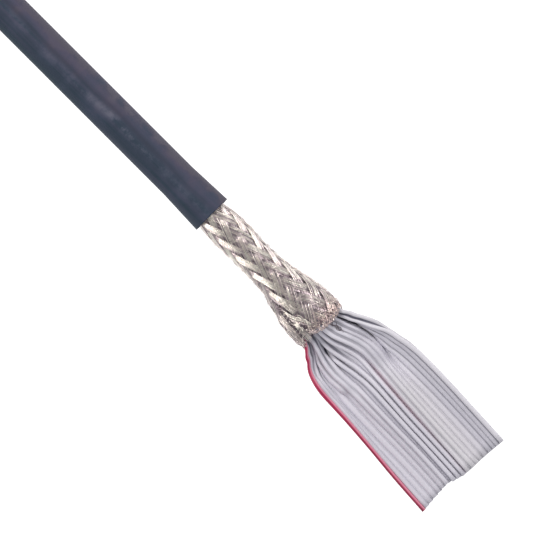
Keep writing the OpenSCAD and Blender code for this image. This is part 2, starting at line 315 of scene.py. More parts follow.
def jacketMaterial():
    m, body = newMaterial("jacketPvc")
    t = m.node_tree
    g = useGroup(t, drawnPlastic, Streak_Scale=640.0, Grain_Scale=5200.0, Blotch_Scale=230.0)
    # The blotches, plus painted light and shade across the round, pick the shade of plastic.
    wander = setNode(t, "ShaderNodeMath", operation="ADD")
    t.links.new(soften(t, g.outputs["Blotches"], -0.45, 1.05), wander.inputs[0])
    t.links.new(attribute(t, "across"), wander.inputs[1])
    base = ramp(t, wander.outputs[0], jacket["shades"])
    streaks = spots(t, g.outputs["Streaks"], 0.44, 0.64, 0.42)
    streaked = mixColour(t, streaks, base, jacket["streakTone"])
    # Chalky scuffs, and a painted sheen along the right edge.
    withScuffAndSheen = mixColour(t, scuffAndSheenMask(t), streaked, jacket["scuffAndSheenTone"])
    # Painted shade along the crease.
    creased = mixColour(t, attribute(t, "crease"), withScuffAndSheen, jacket["creaseTone"])
    # Dark cut faces, and painted shade inside the bore near the stripped end.
    cutDark = mixColour(t, attribute(t, "cut"), creased, jacket["cutTone"])
    t.links.new(cutDark, body.inputs["Base Color"])
    t.links.new(soften(t, g.outputs["Blotches"], *jacket["roughness"]), body.inputs["Roughness"])
    body.inputs["Specular IOR Level"].default_value = jacket["specular"]
    addBump(t, body, g.outputs["Height"], 0.35, 0.00004)
    return m


def scuffAndSheenMask(t):
    chalk = noise(t, Scale=230.0, Detail=5.0, Roughness=0.75)
    both = setNode(t, "ShaderNodeMath", operation="MULTIPLY")
    t.links.new(spots(t, chalk, 0.44, 0.64, 0.8), both.inputs[0])
    t.links.new(attribute(t, "scuffAndSheen"), both.inputs[1])
    return both.outputs[0]


def atCutFace(x):
    return x > -0.02 or x < -jacketLength + 0.01


def jacketRadius(x, a, inner):
    f = max(0.0, (x + jacket["flare"]) / jacket["flare"])
    if inner:
        return jacket["bore"] + (jacket["flareBore"] - jacket["bore"]) * f
    r = jacket["outside"] + (jacket["flareOutside"] - jacket["outside"]) * f
    # Two faint flats meet in a soft crease along the top, and the cut edges are broken a little.
    if atCutFace(x):
        r -= jacket["edgeBreak"]
    return r - jacket["crease"] * (bell(a, 0.42, 0.38) + bell(a, -0.62, 0.40)) * (1 - 0.6 * f)


def jacketStations():
    straight = np.linspace(-jacketLength, -jacket["flare"], 60)[1:]
    flared = np.linspace(-jacket["flare"], -0.10, 18)[1:]
    return [-jacketLength, -jacketLength + 0.06, *straight, *flared, -0.03, 0.0]


def buildJacket():
    n = jacket["round"]
    stations = jacketStations()
    verts, rings = [], []
    marks = {"cut": [], "across": [], "crease": [], "scuffAndSheen": []}
    for inner in (False, True):
        for x in stations[::-1] if inner else stations:
            ring = []
            for j in range(n):
                a = (2 * math.pi * j / n + math.pi) % (2 * math.pi) - math.pi
                r = jacketRadius(x, a, inner)
                jag = math.sin(7 * a + 1) + 0.6 * math.sin(17 * a) + 0.5 * math.sin(31 * a + 2)
                back = abs(jacket["ragged"] * jag) if x > -0.05 else 0
                ring.append(len(verts))
                verts.append((x - back, r * math.sin(a), axisZ(x) + r * math.cos(a)))
                # The cut faces are made dark, and the bore near the stripped end takes painted shade.
                marks["cut"].append(1.0 if atCutFace(x) or (inner and x > -jacket["darkInside"]) else 0.0)
                # Painted light and shade: the round is lighter towards the side the lamps fall on and darker
                # away from it.
                flat = 0.5 + 0.5 * math.sin(a) - 0.22
                marks["across"].append(flat if abs(a) < math.pi / 2 else 0.28 + 0.5 * math.copysign(1, a))
                # The crease wanders along the top and takes painted shade, with a chalky scuff on its left.
                wander = 0.10 + 0.05 * math.sin(0.21 * x) + 0.03 * math.sin(0.5 * x + 1)
                marks["crease"].append(0.42 * bell(a, wander + 0.12, 0.16) * (1 - 0.5 * rise(x, -14, 12)))
                chalk = bell(a, wander - 0.22, 0.22) * (0.35 + 0.65 * bell(x, -22, 9))
                # Painted sheen: a pale band along the right edge rides on the scuff mark.
                marks["scuffAndSheen"].append(max(chalk, 0.5 * bell(a, 0.95, 0.30) * bell(x, -22, 9)))
            rings.append(ring)
    faces = joinRings(rings, rings[1:] + rings[:1])
    path = toRow([(x, 0, axisZ(x)) for x in np.linspace(0, -jacketLength, 37)])
    tube = addPiece("outerJacket", toRow(verts), faces, jacketPvc, ["outer_jacket"], marks)
    return tube, path


jacketPvc = jacketMaterial()
outerJacket, jacketPath = buildJacket()
print("jacket built")

# Folded ribbon: station, sideways, turn in degrees, and the middle of each conductor from the red
# edge on, as sideways,height.
ribbonRows = [
    (13.4, -0.06, 0.0,
     "-2.18,4.23 -2.17,3.32 -1.77,2.52 -0.75,1.77 -0.89,2.65 -1.40,3.77 -0.56,3.47 -0.04,2.37 "
     "0.28,3.20 -0.19,4.28 -1.40,4.66 -0.61,5.06 -0.82,5.93 0.26,5.26 0.05,6.12 0.91,5.86 "
     "1.06,4.85 1.95,4.80 1.25,3.98 1.17,3.09 0.72,1.91 1.52,2.28 2.06,3.04 2.14,3.93"),
    (22.6, -0.15, -0.6,
     "-2.54,4.45 -2.62,3.55 -2.32,2.71 -1.41,1.87 -1.43,2.76 -1.81,3.91 -0.99,3.53 -0.64,2.33 "
     "-0.20,3.11 -0.51,4.29 -1.68,4.79 -0.85,5.11 -1.02,5.98 0.03,5.27 -0.15,6.14 0.73,6.01 "
     "1.20,4.91 2.24,5.03 1.76,3.93 1.44,3.03 1.34,1.86 2.06,2.40 2.56,3.27 2.61,4.18"),
    (24.4, -0.23, -1.4,
     "-3.00,4.55 -3.13,3.59 -2.80,2.68 -1.90,1.85 -1.92,2.79 -2.32,3.97 -1.44,3.54 -1.14,2.31 "
     "-0.44,2.90 -0.77,4.12 -1.88,4.74 -0.98,5.03 -1.14,6.11 -0.14,5.33 -0.27,6.30 0.70,6.22 "
     "1.20,5.06 2.40,4.98 2.25,3.73 1.62,2.72 1.59,1.69 2.40,2.22 3.05,3.25 3.10,4.21"),
    (25.1, -0.24, 0.2,
     "-3.20,4.57 -3.32,3.56 -2.96,2.62 -2.05,1.80 -2.09,2.79 -2.54,3.97 -1.63,3.56 -1.33,2.32 "
     "-0.44,2.68 -0.81,3.90 -1.88,4.58 -0.96,4.96 -1.15,6.15 -0.16,5.35 -0.28,6.36 0.71,6.21 "
     "1.23,5.06 2.40,4.73 2.34,3.46 1.56,2.58 1.70,1.63 2.56,2.18 3.22,3.20 3.30,4.21"),
    (25.9, -0.23, 1.3,
     "-3.39,4.58 -3.52,3.53 -3.11,2.55 -2.18,1.75 -2.26,2.80 -2.75,3.96 -1.78,3.55 -1.51,2.33 "
     "-0.48,2.46 -0.90,3.66 -1.88,4.47 -0.93,4.92 -1.14,6.17 -0.16,5.36 -0.29,6.43 0.72,6.09 "
     "1.28,4.96 2.39,4.40 2.30,3.14 1.39,2.36 1.90,1.60 2.79,2.20 3.35,3.21 3.49,4.26"),
    (26.6, -0.20, 2.1,
     "-3.59,4.58 -3.72,3.48 -3.26,2.47 -2.31,1.69 -2.43,2.79 -2.94,3.95 -1.91,3.51 -1.67,2.31 "
     "-0.57,2.28 -1.02,3.47 -1.88,4.40 -0.89,4.88 -1.13,6.13 -0.13,5.34 -0.29,6.48 0.71,5.92 "
     "1.34,4.82 2.37,4.10 2.20,2.84 1.27,2.02 2.16,1.61 3.06,2.27 3.41,3.32 3.65,4.39"),
    (27.3, -0.18, 2.6,
     "-3.81,4.57 -3.93,3.42 -3.42,2.38 -2.44,1.62 -2.61,2.76 -3.09,3.93 -2.01,3.41 -1.79,2.23 "
     "-0.65,2.09 -1.13,3.26 -1.88,4.29 -0.84,4.77 -1.12,6.01 -0.09,5.28 -0.29,6.48 0.71,5.76 "
     "1.39,4.69 2.36,3.88 2.17,2.62 1.39,1.66 2.47,1.64 3.37,2.37 3.41,3.49 3.81,4.57"),
    (28.0, -0.14, 2.7,
     "-4.12,4.52 -4.19,3.32 -3.62,2.27 -2.62,1.53 -2.85,2.71 -3.19,3.91 -2.13,3.23 -1.91,2.06 "
     "-0.75,1.80 -1.26,2.96 -1.87,4.08 -0.78,4.56 -1.12,5.78 -0.05,5.15 -0.28,6.38 0.73,5.62 "
     "1.43,4.56 2.39,3.74 2.30,2.48 1.73,1.37 2.86,1.67 3.67,2.53 3.45,3.69 4.03,4.72"),
    (28.9, -0.10, 2.3,
     "-4.57,4.42 -4.57,3.19 -3.93,2.13 -2.91,1.41 -3.19,2.62 -3.30,3.85 -2.38,2.99 -2.10,1.80 "
     "-0.99,1.35 -1.44,2.53 -1.88,3.72 -0.78,4.22 -1.12,5.44 0.02,4.96 -0.25,6.19 0.79,5.48 "
     "1.50,4.43 2.50,3.64 2.56,2.38 2.21,1.18 3.33,1.67 3.91,2.70 3.59,3.90 4.38,4.82"),
    (29.8, -0.07, 1.3,
     "-5.44,4.12 -5.26,2.88 -4.50,1.88 -3.45,1.19 -3.78,2.40 -3.58,3.63 -2.90,2.57 -2.58,1.34 "
     "-1.52,0.70 -1.79,1.93 -2.04,3.17 -0.87,3.60 -1.09,4.85 0.13,4.55 -0.13,5.79 1.00,5.24 "
     "1.73,4.20 2.80,3.51 3.03,2.26 2.98,1.01 4.09,1.59 4.22,2.82 4.02,4.06 5.06,4.77"),
    (30.7, -0.06, -0.2,
     "-6.02,3.84 -5.70,2.63 -4.87,1.68 -3.81,1.01 -4.16,2.22 -3.78,3.40 -3.18,2.28 -2.92,1.05 "
     "-1.80,0.51 -1.93,1.75 -2.10,3.01 -0.89,3.22 -1.01,4.49 0.22,4.23 0.03,5.48 1.22,5.06 "
     "1.97,4.03 3.06,3.39 3.35,2.15 3.45,0.89 4.53,1.52 4.53,2.79 4.39,4.05 5.49,4.68"),
    (31.6, -0.08, -1.7,
     "-6.80,3.44 -6.35,2.27 -5.44,1.40 -4.35,0.76 -4.72,1.95 -4.04,2.99 -3.38,1.91 -3.40,0.67 "
     "-2.18,0.45 -1.87,1.59 -2.08,2.84 -0.83,2.73 -0.81,4.00 0.42,3.73 0.37,5.00 1.61,4.75 "
     "2.38,3.74 3.50,3.14 3.81,1.91 4.06,0.68 4.94,1.52 5.02,2.78 5.00,4.05 6.13,4.62"),
    (32.6, -0.12, -3.0,
     "-7.35,3.29 -7.04,2.08 -6.07,1.29 -5.05,0.57 -5.15,1.77 -4.27,2.66 -3.45,1.70 -3.69,0.47 "
     "-2.51,0.66 -1.62,1.27 -1.93,2.50 -0.68,2.28 -0.45,3.52 0.79,3.22 0.82,4.49 2.09,4.39 "
     "2.83,3.36 3.96,2.77 4.17,1.52 4.78,0.53 5.19,1.65 5.48,2.88 5.61,4.14 6.77,4.51"),
    (33.7, -0.19, -3.7,
     "-7.72,3.44 -7.49,2.22 -6.60,1.40 -5.78,0.47 -5.34,1.59 -4.46,2.49 -3.49,1.67 -3.51,0.44 "
     "-2.61,1.19 -1.54,0.90 -1.70,2.13 -0.46,1.85 0.03,3.01 1.26,2.69 1.32,3.96 2.59,3.98 "
     "3.34,2.95 4.39,2.25 4.45,0.99 5.50,0.70 5.53,1.95 5.98,3.13 6.24,4.37 7.36,4.12"),
    (34.8, -0.26, -3.9,
     "-7.98,3.68 -7.47,2.54 -6.93,1.45 -6.18,0.44 -5.48,1.48 -4.56,2.34 -3.50,1.64 -3.17,0.44 "
     "-2.50,1.48 -1.59,0.64 -1.41,1.88 -0.22,1.46 0.45,2.54 1.69,2.25 1.73,3.52 2.98,3.70 "
     "3.77,2.71 4.68,1.84 4.71,0.57 5.77,1.07 5.90,2.31 6.56,3.38 6.92,4.59 7.72,3.72"),
    (36.2, -0.35, -3.2,
     "-8.19,3.66 -7.55,2.58 -7.11,1.40 -6.32,0.44 -5.56,1.44 -4.57,2.20 -3.46,1.57 -2.91,0.44 "
     "-2.20,1.48 -1.37,0.52 -1.00,1.73 0.14,1.18 0.88,2.21 2.11,1.94 2.11,3.21 3.29,3.65 "
     "4.16,2.72 4.87,1.69 5.04,0.44 5.80,1.41 6.38,2.51 7.14,3.51 7.71,4.64 8.05,3.43"),
    (37.6, -0.42, -2.7,
     "-8.26,3.20 -7.62,2.12 -7.18,0.94 -6.09,0.43 -5.43,1.50 -4.39,2.21 -3.34,1.50 -2.62,0.46 "
     "-1.86,1.45 -1.05,0.47 -0.66,1.68 0.33,0.90 1.02,1.97 2.18,1.51 2.24,2.78 3.33,3.43 "
     "4.32,2.65 4.86,1.52 5.38,0.44 5.84,1.59 6.73,2.48 7.53,3.44 8.18,4.53 8.41,3.28"),
    (38.9, -0.48, -2.5,
     "-8.27,2.86 -7.64,1.77 -7.23,0.59 -6.00,0.43 -5.27,1.38 -4.27,2.12 -3.21,1.45 -2.42,0.46 "
     "-1.63,1.44 -0.84,0.45 -0.47,1.66 0.32,0.69 1.01,1.75 2.05,1.06 2.24,2.31 3.29,3.02 "
     "4.26,2.24 4.69,1.05 5.66,0.43 5.98,1.64 6.95,2.44 7.82,3.35 8.45,4.45 8.70,3.21"),
    (40.1, -0.53, -2.5,
     "-8.28,2.76 -7.64,1.67 -7.38,0.44 -6.12,0.43 -4.96,0.66 -4.22,1.66 -3.02,1.47 -2.21,0.50 "
     "-1.43,1.49 -0.73,0.44 -0.32,1.63 0.19,0.48 0.94,1.50 1.86,0.63 2.18,1.86 3.21,2.61 "
     "4.08,1.70 4.45,0.50 5.69,0.43 6.24,1.55 7.25,2.29 8.16,3.16 8.76,4.27 9.04,3.03"),
    (42.6, -0.65, -2.9,
     "-8.29,2.76 -7.67,1.66 -7.40,0.43 -6.15,0.43 -4.89,0.44 -4.08,1.39 -2.92,1.87 -2.18,0.84 "
     "-1.26,1.70 -0.79,0.52 -0.22,1.65 0.10,0.44 0.90,1.40 1.82,0.53 2.11,1.77 3.10,2.57 "
     "3.91,1.61 4.35,0.44 5.61,0.44 6.57,1.23 7.63,1.91 8.49,2.83 9.20,3.87 9.35,2.61"),
    (45.5, -0.79, -2.8,
     "-8.36,2.74 -7.78,1.62 -7.37,0.43 -6.12,0.43 -4.86,0.43 -3.94,1.28 -2.87,1.95 -2.18,0.89 "
     "-1.25,1.74 -0.86,0.53 -0.25,1.64 0.09,0.43 0.84,1.44 1.66,0.47 2.04,1.68 3.01,2.50 "
     "3.82,1.54 4.42,0.43 5.68,0.44 6.79,1.03 7.83,1.76 8.67,2.70 9.42,3.71 9.52,2.44"),
    (50.1, -0.99, -2.5,
     "-8.56,2.60 -7.98,1.48 -7.29,0.43 -6.03,0.43 -4.78,0.43 -3.70,1.07 -2.78,1.93 -2.15,0.83 "
     "-1.29,1.75 -0.98,0.52 -0.34,1.62 0.07,0.43 0.73,1.51 1.41,0.44 1.93,1.59 2.94,2.36 "
     "3.76,1.41 4.60,0.48 5.85,0.43 7.00,0.96 7.98,1.75 8.80,2.70 9.56,3.70 9.65,2.43"),
    (56.2, -1.33, -3.5,
     "-8.78,2.21 -7.98,1.24 -7.02,0.43 -5.76,0.43 -4.51,0.43 -3.47,1.14 -2.54,1.99 -1.97,0.86 "
     "-1.18,1.83 -0.94,0.59 -0.23,1.64 0.14,0.43 0.79,1.51 1.46,0.43 1.90,1.63 2.93,2.37 "
     "3.82,1.49 4.74,0.63 5.98,0.43 7.18,0.82 8.15,1.61 8.89,2.62 9.68,3.61 9.74,2.34"),
    (64.7, -1.80, -3.4,
     "-8.88,1.93 -8.03,1.00 -6.92,0.43 -5.66,0.43 -4.41,0.58 -3.39,1.31 -2.47,2.16 -1.91,1.02 "
     "-1.14,2.01 -1.02,0.75 -0.17,1.68 0.33,0.52 0.82,1.68 1.72,0.80 1.82,2.06 3.02,2.27 "
     "3.85,1.32 4.80,0.48 6.05,0.43 7.26,0.77 8.22,1.59 8.96,2.60 9.74,3.59 9.81,2.32"),
]
# Painted shade in each groove: how dark it lies in the flat part, from the red edge on.
grooveShade = (0.10, 0.20, 0.26, 0.26, 0.30, 0.36, 0.42, 0.48, 0.49, 0.44, 0.40, 0.34, 0.28, 0.24, 0.22,
               0.20, 0.20, 0.26, 0.38, 0.66, 0.80, 0.84, 0.74)
# How far each lobe is cut back at the snipped end, from the red edge on.
cutShort = [0, 0.12, 0.28, 0.44, 0.60, 0.76, 0.85, 0.72, 0.50, 0.36, 0.22, 0.10] + [0] * 12
ribbon = {"lobe": 0.42, "wide": 0.15, "web": 0.13, "last": 23, "cut": 64.7,
          "arc": (0.0, 0.05, 0.13, 0.25, 0.38, 0.5, 0.62, 0.75, 0.87, 0.95, 1.0),
          "base": (0.635, 0.620, 0.694), "deep": (0.062, 0.060, 0.100), "tinted": (0.50, 0.16, 0.25),
          "litBand": (0.682, 0.664, 0.692), "roughness": (0.34, 0.52), "specular": 0.35,
          "litBandLobes": {13: 0.2, 14: 0.5, 15: 0.65, 16: 0.65, 17: 0.55, 18: 0.3, 22: 0.3, 23: 0.7}}
# The red skin on the first conductor, with its painted pink highlight, and how it and its neighbours bow out
# just under the mouth.
redSkin = {"base": (0.36, 0.020, 0.072), "deep": (0.13, 0.006, 0.025), "tinted": (0.78, 0.27, 0.38),
           "litBand": (0.36, 0.02, 0.07), "bow": (0.55, 0.22, 0.08), "bowAt": 29.1, "bowLength": 1.7,
           "slimmer": 0.28, "shadow": 0.45}


def ribbonMaterial(name, look):
    m, body = newMaterial(name)
    t = m.node_tree
    g = useGroup(t, drawnPlastic, Streak_Scale=1500.0, Grain_Scale=9000.0, Blotch_Scale=110.0)
    blotches = soften(t, g.outputs["Blotches"], 0.0, 0.5)
    main = mixColour(t, blotches, look["base"], tuple(min(1, 1.06 * c) for c in look["base"]))
    # Painted light: a paler, greener band.
    withLitBand = mixColour(t, attribute(t, "litBand"), main, look["litBand"])
    lit = mixColour(t, attribute(t, "pale"), withLitBand, tuple(min(0.92, 1.36 * c) for c in look["base"]))
    # Painted shade in the grooves and folds.
    low = mixColour(t, attribute(t, "groove"), lit, look["deep"])
    # A painted pink highlight on the red skin, and the dye in one fold.
    out = mixColour(t, attribute(t, "tint"), low, look["tinted"])
    t.links.new(out, body.inputs["Base Color"])
    t.links.new(soften(t, g.outputs["Streaks"], *ribbon["roughness"]), body.inputs["Roughness"])
    body.inputs["Specular IOR Level"].default_value = ribbon["specular"]
    addBump(t, body, g.outputs["Height"], 0.15, 0.00002)
    return m


def sectionTable():
    xs, plans, cores = [], [], []
    for x, side, turn, words in ribbonRows:
        xs.append(x)
        plans.append((side, turn))
        cores.append([[float(v) for v in w.split(",")] for w in words.split()])
    # Inside the jacket the bundle keeps its shape and follows the sloping axis.
    first = np.array(cores[0])
    first[:, 0] += plans[0][0]
    bundle = first - (first.max(axis=0) + first.min(axis=0)) / 2
    plans[0] = (0.0, 0.0)
    cores[0] = (bundle + [0, bundleHeight(xs[0])]).tolist()
    xs.insert(0, -jacketLength)
    plans.insert(0, (0.0, 0.0))
    cores.insert(0, (bundle + [0, bundleHeight(-jacketLength)]).tolist())
    return np.array(xs), np.array(plans), np.array(cores)


tableX, tablePlan, tableCores = sectionTable()


def smoothAt(x, values):
    last = len(tableX) - 1
    i = int(np.clip(np.searchsorted(tableX, x) - 1, 0, last - 1))

    def slopeOf(j):
        return (values[j + 1] - values[j]) / (tableX[j + 1] - tableX[j])

    def tangent(j):
        if j == 0 or j == last:
            return slopeOf(min(j, last - 1))
        a, b = tableX[j] - tableX[j - 1], tableX[j + 1] - tableX[j]
        return (slopeOf(j - 1) * b + slopeOf(j) * a) / (a + b)

    # The bundle in the jacket runs straight as far as the first row.
    after = slopeOf(0) if i == 0 else tangent(i + 1)
    h = tableX[i + 1] - tableX[i]
    return hermite((x - tableX[i]) / h, h, values[i], tangent(i), values[i + 1], after)


def coresAt(x):
    core = np.array(smoothAt(x, tableCores))
    for k, bow in enumerate(redSkin["bow"]):
        core[k][0] -= bow * bell(x, redSkin["bowAt"], redSkin["bowLength"])
    return core


def planAt(x):
    side, turn = smoothAt(x, tablePlan)
    return side, math.radians(turn)


def spreadAt(x):
    f = rise(x, 31, 7)
    return f * f * (3 - 2 * f)


def cutBack(k, x):
    return cutShort[k] if x > ribbon["cut"] - 0.1 else 0


def stationList():
    inside = [-jacketLength, -jacketLength + 1.5, -40, 0, 8, ribbonRows[0][0]]
    opening = list(np.arange(15, 22, 1.4)) + list(np.arange(22.4, 46, 0.45))
    return inside + opening + list(np.arange(46.3, 63.2, 1.1)) + [ribbon["cut"]]


def heading(v):
    return math.atan2(v[1], v[0])


def webPoint(core, k, side):
    # On the skin of the thin web between conductor k and the next one.
    d = core[k + 1] - core[k]
    d = d / np.linalg.norm(d)
    return (core[k] + core[k + 1]) / 2 + side * ribbon["web"] * np.array([-d[1], d[0]])


def sectionLoop(core, a, b, spread):
    # Over lobes a to b and back under them: each point, its painted groove shade, and its lobe.
    last = len(core) - 1
    skins = []
    for side in (1, -1):
        points = []
        for k in range(a, b + 1):
            before = heading(core[0] - core[1]) if k == 0 else heading(core[k - 1] - core[k])
            after = heading(core[last] - core[last - 1]) if k == last else heading(core[k + 1] - core[k])
            if k == a and a > 0:
                points.append((webPoint(core, k - 1, side), grooveShade[k - 1], k))
            sweep = (side * (before - after)) % (2 * math.pi)
            skip = min(math.radians(14), sweep / 2 - 0.03)
            flat = math.sin(min(sweep, 2 * math.pi - sweep) / 2) ** 8 if 0 < k < last else 0.3
            for j in ribbon["arc"]:
                angle = before - side * (skip + (sweep - 2 * skip) * j)
                towards = max(0, math.cos(angle - before)) ** 1.5 + max(0, math.cos(angle - after)) ** 1.5
                r = ribbon["lobe"] + ribbon["wide"] * spread * flat * towards
                near = grooveShade[max(k - 1, 0)] if j < 0.5 else grooveShade[min(k, last - 1)]
                edge = (k == 0 and j <= 0.5) or (k == last and j >= 0.5)
                dark = 0.0 if edge else near * max(0.0, 0.75 - 8.0 * min(j, 1 - j))
                points.append((core[k] + r * np.array([math.cos(angle), math.sin(angle)]), dark, k))
            if k < last:
                points.append((webPoint(core, k, side), grooveShade[k], k))
        skins.append(points)
    return skins[0] + skins[1][::-1]


def tintAt(x, p, core, k):
    # The red skin takes a painted pink highlight along the flank that meets the grey, and its dye shows deep
    # in one fold.
    if k == 0:
        return rise(p[0] - core[0][0], 0.02, 0.22) if p[1] > core[0][1] - 0.1 else 0.0
    if x < 37 or k not in (12, 13, 14):
        return 0.0
    aside = p[0] - core[k][0]
    fade = rise(x, 37, 4) * (1 - 0.7 * rise(x, 47, 12))
    return fade * (0.34 if k == 13 else 0.16 * clamp((aside if k == 12 else -aside) / 0.35))


def paleAt(x, y):
    # The fan is paler where the light from the right reaches into its folds.
    pale = 0.42 * bell(x, 31.5, 3) + 0.12 * bell(x, 40, 8) + 0.55 * bell(x, 38.5, 6) * bell(y, 0.3, 1.4)
    pale += 0.48 * bell(x, 41.5, 4.5) * bell(y, 5.0, 1.5) + 0.38 * bell(x, 36.5, 4.5) * bell(y, -6.8, 1.0)
    dull = 0.6 * bell(x, 35.5, 3) * bell(y, 2.9, 1.0) + 0.6 * bell(x, 31.5, 2) * bell(y, -3.6, 0.9)
    return clamp(pale - dull)


def litBandAt(x, k):
    # Painted light along the right edge and in a band beside the middle fold: the grey there is paler and
    # greener than the rest.
    litBand = ribbon["litBandLobes"].get(k, 0.0)
    return litBand if k > 21 else litBand * rise(x, 38, 8)


def buildInsulation(name, a, b, material, replaced):
    verts, rings = [], []
    marks = {"groove": [], "tint": [], "litBand": [], "pale": []}
    for x in stationList():
        core = coresAt(x)
        side, turn = planAt(x)
        folded = 1 - spreadAt(x)
        ring = []
        for p, g, k in sectionLoop(core, a, b, spreadAt(x)):
            # The red skin's outer flank is slimmer towards the snipped end, and darker there with painted
            # shade.
            outer = rise(x, 38, 12) if k == 0 and p[0] < core[0][0] else 0
            p = (p[0] + redSkin["slimmer"] * outer * (core[k][0] - p[0]), p[1])
            ring.append(len(verts))
            at = x - p[0] * math.sin(turn) - cutBack(k, x)
            verts.append((at, side + p[0] * math.cos(turn), max(p[1], 0.0)))
            # Painted shade: grooves are darker, more so where the ribbon is still folded, and so are the last
            # lobe and the red skin's outer flank.
            shaded = g * (0.85 + 0.6 * folded) + (0.25 * folded if g > 0.05 else 0)
            shaded += (0.10 if k == ribbon["last"] else 0) + redSkin["shadow"] * outer
            marks["groove"].append(min(0.9, shaded))
            marks["tint"].append(tintAt(x, p, core, k))
            marks["litBand"].append(litBandAt(x, k))
            marks["pale"].append(0.0 if k == 0 else paleAt(x, verts[-1][1]))
        rings.append(ring)
    faces = joinRings(rings, rings[1:])
    n = len(rings[0])
    for ring, turned in ((rings[0], True), (rings[-1], False)):
        for j in range(n // 2 - 1):
            quad = (ring[j], ring[j + 1], ring[n - 2 - j], ring[n - 1 - j])
            faces.append(quad[::-1] if turned else quad)
    return addPiece(name, toRow(verts), faces, material, replaced, marks)


ribbonPvc = ribbonMaterial("ribbonPvc", ribbon)
redPvc = ribbonMaterial("redPvc", redSkin)
ribbonInsulation = buildInsulation("ribbonInsulation", 1, ribbon["last"], ribbonPvc,
                                   ["ribbon_insulation"])
redEdge = buildInsulation("redEdge", 0, 0, redPvc, ["red_edge_insulation"])
print("ribbon built")


# Braided shield: a dark sheet, painted shade in the gaps between the wires, and over it strands of fine
# wires, two over and two under.
braid = {"carriers": 12, "wires": 7, "wireRadius": 0.073, "pitch": 0.160, "lay": 2.15, "start": -3.475,
         "turn": 17.5, "lift": 0.10, "mouth": 28.4, "perCrossing": 7, "sleeve": 2.9,
         "slantCos": 0.936, "slantSin": 0.352, "over": 0.20, "under": -0.26,
         "shades": [(0.0, (0.19, 0.155, 0.175)), (0.45, (0.69, 0.595, 0.615)),
                    (0.75, (0.92, 0.84, 0.785)), (1.0, (1.0, 0.955, 0.875))],
         "tarnish": (0.52, 0.44, 0.46), "wornTone": (0.95, 0.86, 0.84), "roughness": (0.20, 0.38)}
# Station, half width, half height, sideways, over the axis.
shieldRows = [
    (-3.0, 2.84, 2.84, 0.00, -0.01), (0.0, 2.85, 2.84, -0.12, 0.00), (3.0, 3.18, 3.06, -0.03, 0.01),
    (6.0, 3.15, 3.04, -0.02, 0.03), (11.6, 3.08, 3.03, -0.06, 0.05), (16.3, 3.38, 3.18, 0.00, 0.03),
    (19.4, 4.14, 3.44, -0.10, 0.00), (22.7, 4.82, 3.64, -0.20, -0.02), (25.5, 5.12, 3.72, -0.34, -0.02),
    (28.3, 4.80, 3.62, -0.28, -0.02), (30.0, 4.55, 3.52, -0.28, -0.02)]
shieldX = np.array([r[0] for r in shieldRows])
shieldV = np.array([r[1:] for r in shieldRows])


def braidMaterial():
    m, body = newMaterial("tinnedBraid")
    t = m.node_tree
    fleck = noise(t, Scale=1500.0, Detail=3.0, Roughness=0.7)
    own = ramp(t, attribute(t, "wire"), braid["shades"])
    tarnish = mixColour(t, spots(t, fleck, 0.54, 0.72, 0.5), own, braid["tarnish"])
    worn = mixColour(t, attribute(t, "bare"), tarnish, braid["wornTone"], blend="MULTIPLY")
    t.links.new(worn, body.inputs["Base Color"])
    body.inputs["Metallic"].default_value = 1.0
    t.links.new(soften(t, fleck, *braid["roughness"]), body.inputs["Roughness"])
    return m


def shieldAt(x):
    if x < shieldX[0]:
        return *shieldRows[0][1:3], 0.0, bundleHeight(x)
    last = len(shieldX) - 1
    i = int(np.clip(np.searchsorted(shieldX, x) - 1, 0, last - 1))

    def slopeOf(j):
        return (shieldV[j + 1] - shieldV[j]) / (shieldX[j + 1] - shieldX[j])

    def tangent(j):
        if j == 0:
            return slopeOf(0) * 0
        if j == last:
            return slopeOf(j - 1)
        return (slopeOf(j - 1) + slopeOf(j)) / 2

    h = shieldX[i + 1] - shieldX[i]
    half, tall, side, over = hermite((x - shieldX[i]) / h, h, shieldV[i], tangent(i),
                                     shieldV[i + 1], tangent(i + 1))
    return half, tall, side, axisHeight + over


def onShield(x, f, out, low=0.0):
    half, tall, side, mid = shieldAt(x)
    return (x, side + (half + out) * math.sin(f), max(mid + (tall + out) * math.cos(f), low))


def wrapAngle(f):
    return (f + math.pi) % (2 * math.pi) - math.pi


def mouthAt(f):
    # The strands were pulled back on the near side, and a few reach on along the left edge.
    return braid["mouth"] - 1.2 * bell(f, -0.62, 0.38) + 0.35 * bell(f, -1.5, 0.3) - 0.9 * bell(f, 1.35, 0.45)


def bareAt(p):
    # The tin is worn at the mouth, mostly on its right half.
    return rise(p[0], 24.2, 3.2) * (0.35 + 0.55 / (1 + math.exp(-1.6 * (p[1] + 1.0))))


def paintedLightAndShadeAt(x, y, loose):
    # Painted shade darkens the wires towards the mouth and where the shield flares, and a painted bright
    # column and a painted darker column lie side by side on top.
    column = 0.34 * bell(y, -0.85, 0.8) - 0.15 * bell(y, 0.75, 0.7) * clamp((26 - x) / 3)
    return 0.10 * loose + 0.05 * bell(x, 17, 5) - column * rise(x, 8, 3)


def newBunch():
    return {"verts": [], "faces": [], "wire": [], "bare": []}


